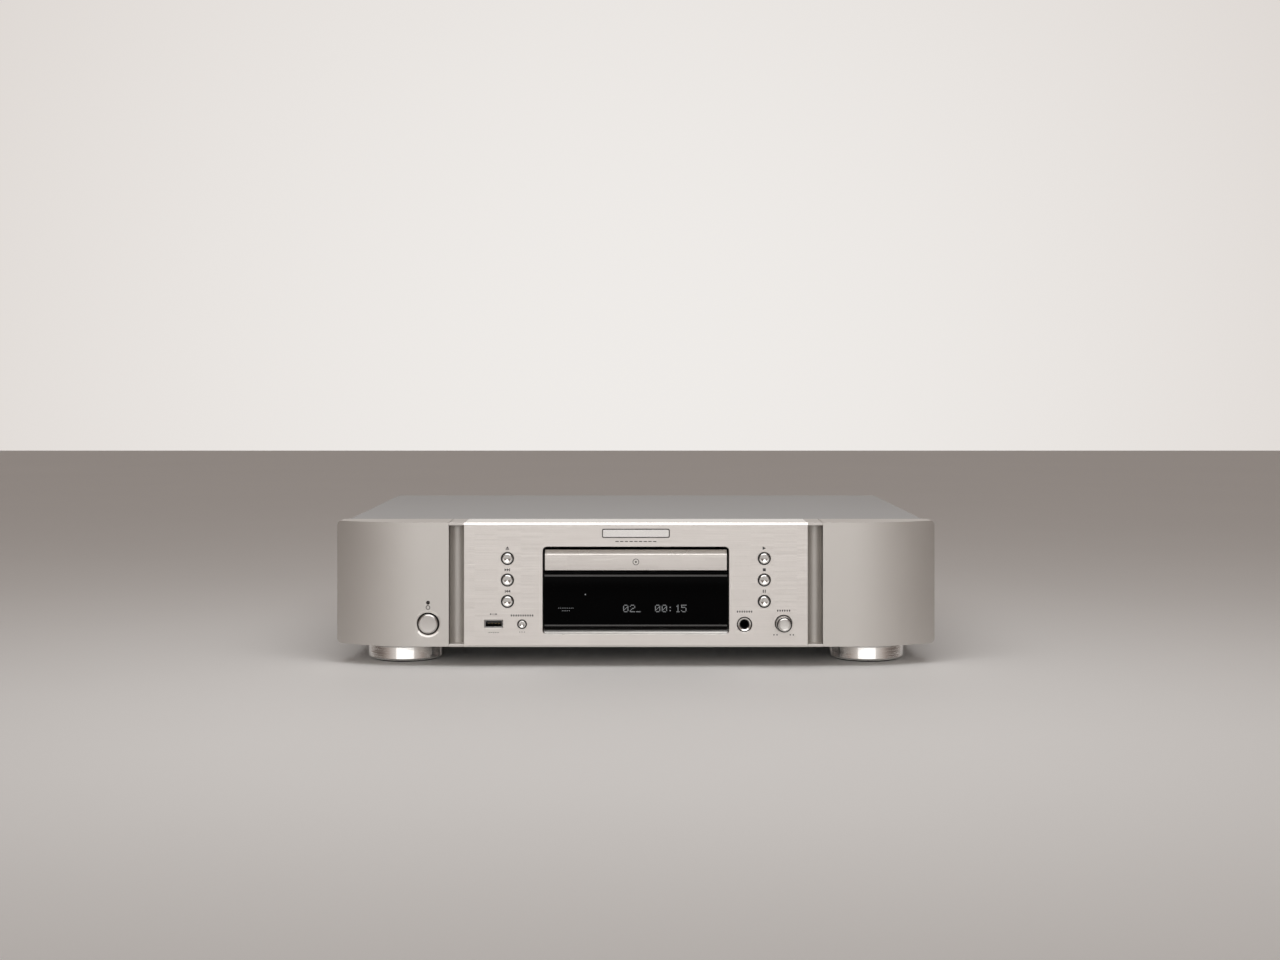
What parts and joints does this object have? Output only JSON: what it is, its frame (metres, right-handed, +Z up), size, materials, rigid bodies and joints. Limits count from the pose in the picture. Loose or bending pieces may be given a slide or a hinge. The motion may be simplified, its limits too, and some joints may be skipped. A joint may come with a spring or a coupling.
{
  "type": "cd player",
  "caption": "Table-top disc player with a silver front, curved side wings, a sliding disc tray, round controls and broad round feet.",
  "frame": {"origin": "on the surface that the player stands on, under the middle of its overall box", "axes": "+X to the right seen from the front, +Y back from the front plate to the rear panel, +Z up"},
  "size_m": [0.44, 0.34, 0.105],
  "materials": {
    "front_silver": "fine horizontal brushing, clear anodised",
    "wing_silver": "bead-blasted satin, clear anodised",
    "button_metal": "spun satin",
    "door_silver": "satin",
    "cover_paint": "fine satin silver-grey paint",
    "sheet_steel": "zinc-plated sheet",
    "machine_steel": "turned and drawn cases",
    "foot_chrome": "polished silver plating",
    "badge_metal": "polished",
    "window_black": "glossy smoked black",
    "display_glass": "dark display glass",
    "lens_glass": "coated lens",
    "lamp_plastic": "clear red lens, unlit",
    "black_plastic": "fine moulded texture",
    "gear_plastic": "natural moulded plastic",
    "board_laminate": "green lacquered laminate",
    "winding": "lacquered winding under clear tape",
    "pad_rubber": "matt"
  },
  "bodies": {
    "case": {"front_plate": "front_silver", "left_wing": "wing_silver", "right_wing": "wing_silver", "front_frame": "wing_silver", "top_cover": "cover_paint", "chassis": "sheet_steel", "rear_panel": "sheet_steel", "clamp_bridge": "sheet_steel", "headphone_jack": "machine_steel", "usb_socket": "machine_steel", "level_control": "machine_steel", "loading_motor": "machine_steel", "front_left_foot": "foot_chrome", "front_right_foot": "foot_chrome", "rear_left_foot": "foot_chrome", "rear_right_foot": "foot_chrome", "badge": "badge_metal", "display_window": "window_black", "display_module": "display_glass", "power_lamp": "lamp_plastic", "loader_base": "black_plastic", "power_switch": "black_plastic", "analog_output_jacks": "black_plastic", "digital_output_jack": "black_plastic", "optical_output": "black_plastic", "remote_jacks": "black_plastic", "ac_inlet": "black_plastic", "front_board": "board_laminate", "main_board": "board_laminate", "transformer": "winding", "front_left_foot_pad": "pad_rubber", "front_right_foot_pad": "pad_rubber", "rear_left_foot_pad": "pad_rubber", "rear_right_foot_pad": "pad_rubber", "loading_belt": "pad_rubber"},
    "tray": {"disc_tray": "black_plastic", "tray_front": "door_silver"},
    "drive_gear": {"drive_gear": "gear_plastic"},
    "pulley_gear": {"pulley_gear": "gear_plastic"},
    "motor_pulley": {"motor_pulley": "gear_plastic"},
    "cam_slider": {"cam_slider": "gear_plastic"},
    "traverse": {"traverse_frame": "sheet_steel", "spindle_motor": "machine_steel", "guide_rod": "machine_steel", "sled_motor": "machine_steel"},
    "turntable": {"turntable": "black_plastic"},
    "clamp_puck": {"clamp_puck": "black_plastic"},
    "pickup": {"pickup_sled": "black_plastic"},
    "lens": {"objective_lens": "lens_glass"},
    "feed_gear": {"feed_gear": "gear_plastic"},
    "sled_pinion": {"sled_pinion": "gear_plastic"},
    "level_knob": {"level_knob": "button_metal"},
    "eject_button": {"eject_button": "button_metal"},
    "next_button": {"next_button": "button_metal"},
    "previous_button": {"previous_button": "button_metal"},
    "play_button": {"play_button": "button_metal"},
    "stop_button": {"stop_button": "button_metal"},
    "pause_button": {"pause_button": "button_metal"},
    "input_button": {"input_button": "button_metal"},
    "power_button": {"power_button": "button_metal"}
  },
  "joints": [
    {"name": "tray_slide", "type": "slide", "parent": "case", "child": "tray", "axis": [0, -1, 0], "range_m": [0, 0.142]},
    {"name": "drive_gear_spin", "type": "hinge", "parent": "case", "child": "drive_gear", "pos_m": [-0.044, -0.115, 0.0724], "axis": [0, 0, 1], "range_deg": [0, 679]},
    {"name": "pulley_gear_spin", "type": "hinge", "parent": "case", "child": "pulley_gear", "pos_m": [-0.0245, -0.115, 0.0706], "axis": [0, 0, 1], "range_deg": [-1086, 0]},
    {"name": "motor_pulley_spin", "type": "hinge", "parent": "case", "child": "motor_pulley", "pos_m": [0.01, -0.115, 0.0684], "axis": [0, 0, 1], "range_deg": [-3256, 0]},
    {"name": "cam_slide", "type": "slide", "parent": "case", "child": "cam_slider", "axis": [1, 0, 0], "range_m": [0, 0.0201]},
    {"name": "traverse_tilt", "type": "hinge", "parent": "case", "child": "traverse", "pos_m": [0, 0.015, 0.064], "axis": [1, 0, 0], "range_deg": [0, 5.05]},
    {"name": "spindle_spin", "type": "hinge", "parent": "traverse", "child": "turntable", "pos_m": [0, -0.081, 0.0778], "axis": [0, 0, 1], "continuous": true},
    {"name": "puck_spin", "type": "hinge", "parent": "case", "child": "clamp_puck", "pos_m": [0, -0.081, 0.0814], "axis": [0, 0, 1], "continuous": true},
    {"name": "sled_slide", "type": "slide", "parent": "traverse", "child": "pickup", "axis": [0, 1, 0], "range_m": [0, 0.034]},
    {"name": "feed_gear_spin", "type": "hinge", "parent": "traverse", "child": "feed_gear", "pos_m": [-0.021, -0.031, 0.0605], "axis": [0, 0, 1], "range_deg": [0, 488]},
    {"name": "sled_pinion_spin", "type": "hinge", "parent": "traverse", "child": "sled_pinion", "pos_m": [-0.0338, -0.031, 0.059], "axis": [0, 0, 1], "range_deg": [-1462, 0]},
    {"name": "lens_focus", "type": "slide", "parent": "pickup", "child": "lens", "axis": [0, 0, 1], "range_m": [-0.0007, 0.0007], "stiffness_N_per_m": 60, "springref_m": 0.0001},
    {"name": "eject_press", "type": "slide", "parent": "case", "child": "eject_button", "axis": [0, 1, 0], "range_m": [0, 0.0008], "stiffness_N_per_m": 200, "springref_m": -0.001},
    {"name": "next_press", "type": "slide", "parent": "case", "child": "next_button", "axis": [0, 1, 0], "range_m": [0, 0.0008], "stiffness_N_per_m": 200, "springref_m": -0.001},
    {"name": "previous_press", "type": "slide", "parent": "case", "child": "previous_button", "axis": [0, 1, 0], "range_m": [0, 0.0008], "stiffness_N_per_m": 200, "springref_m": -0.001},
    {"name": "play_press", "type": "slide", "parent": "case", "child": "play_button", "axis": [0, 1, 0], "range_m": [0, 0.0008], "stiffness_N_per_m": 200, "springref_m": -0.001},
    {"name": "stop_press", "type": "slide", "parent": "case", "child": "stop_button", "axis": [0, 1, 0], "range_m": [0, 0.0008], "stiffness_N_per_m": 200, "springref_m": -0.001},
    {"name": "pause_press", "type": "slide", "parent": "case", "child": "pause_button", "axis": [0, 1, 0], "range_m": [0, 0.0008], "stiffness_N_per_m": 200, "springref_m": -0.001},
    {"name": "input_press", "type": "slide", "parent": "case", "child": "input_button", "axis": [0, 1, 0], "range_m": [0, 0.0008], "stiffness_N_per_m": 200, "springref_m": -0.001},
    {"name": "power_press", "type": "slide", "parent": "case", "child": "power_button", "axis": [0, 1, 0], "range_m": [0, 0.0025], "stiffness_N_per_m": 300, "springref_m": -0.002},
    {"name": "level_turn", "type": "hinge", "parent": "case", "child": "level_knob", "pos_m": [0.107, -0.161, 0.0321], "axis": [0, -1, 0], "range_deg": [-150, 150]}
  ],
  "couplings": [
    {"joint": "drive_gear_spin", "follows": "tray_slide", "rad_per_m": 83.333},
    {"joint": "pulley_gear_spin", "follows": "tray_slide", "rad_per_m": -133.33},
    {"joint": "motor_pulley_spin", "follows": "tray_slide", "rad_per_m": -400},
    {"joint": "cam_slide", "follows": "tray_slide", "ratio": 0.14084},
    {"joint": "traverse_tilt", "follows": "tray_slide", "rad_per_m": 0.61455},
    {"joint": "puck_spin", "follows": "spindle_spin", "ratio": 1},
    {"joint": "feed_gear_spin", "follows": "sled_slide", "rad_per_m": 250},
    {"joint": "sled_pinion_spin", "follows": "sled_slide", "rad_per_m": -750}
  ]
}
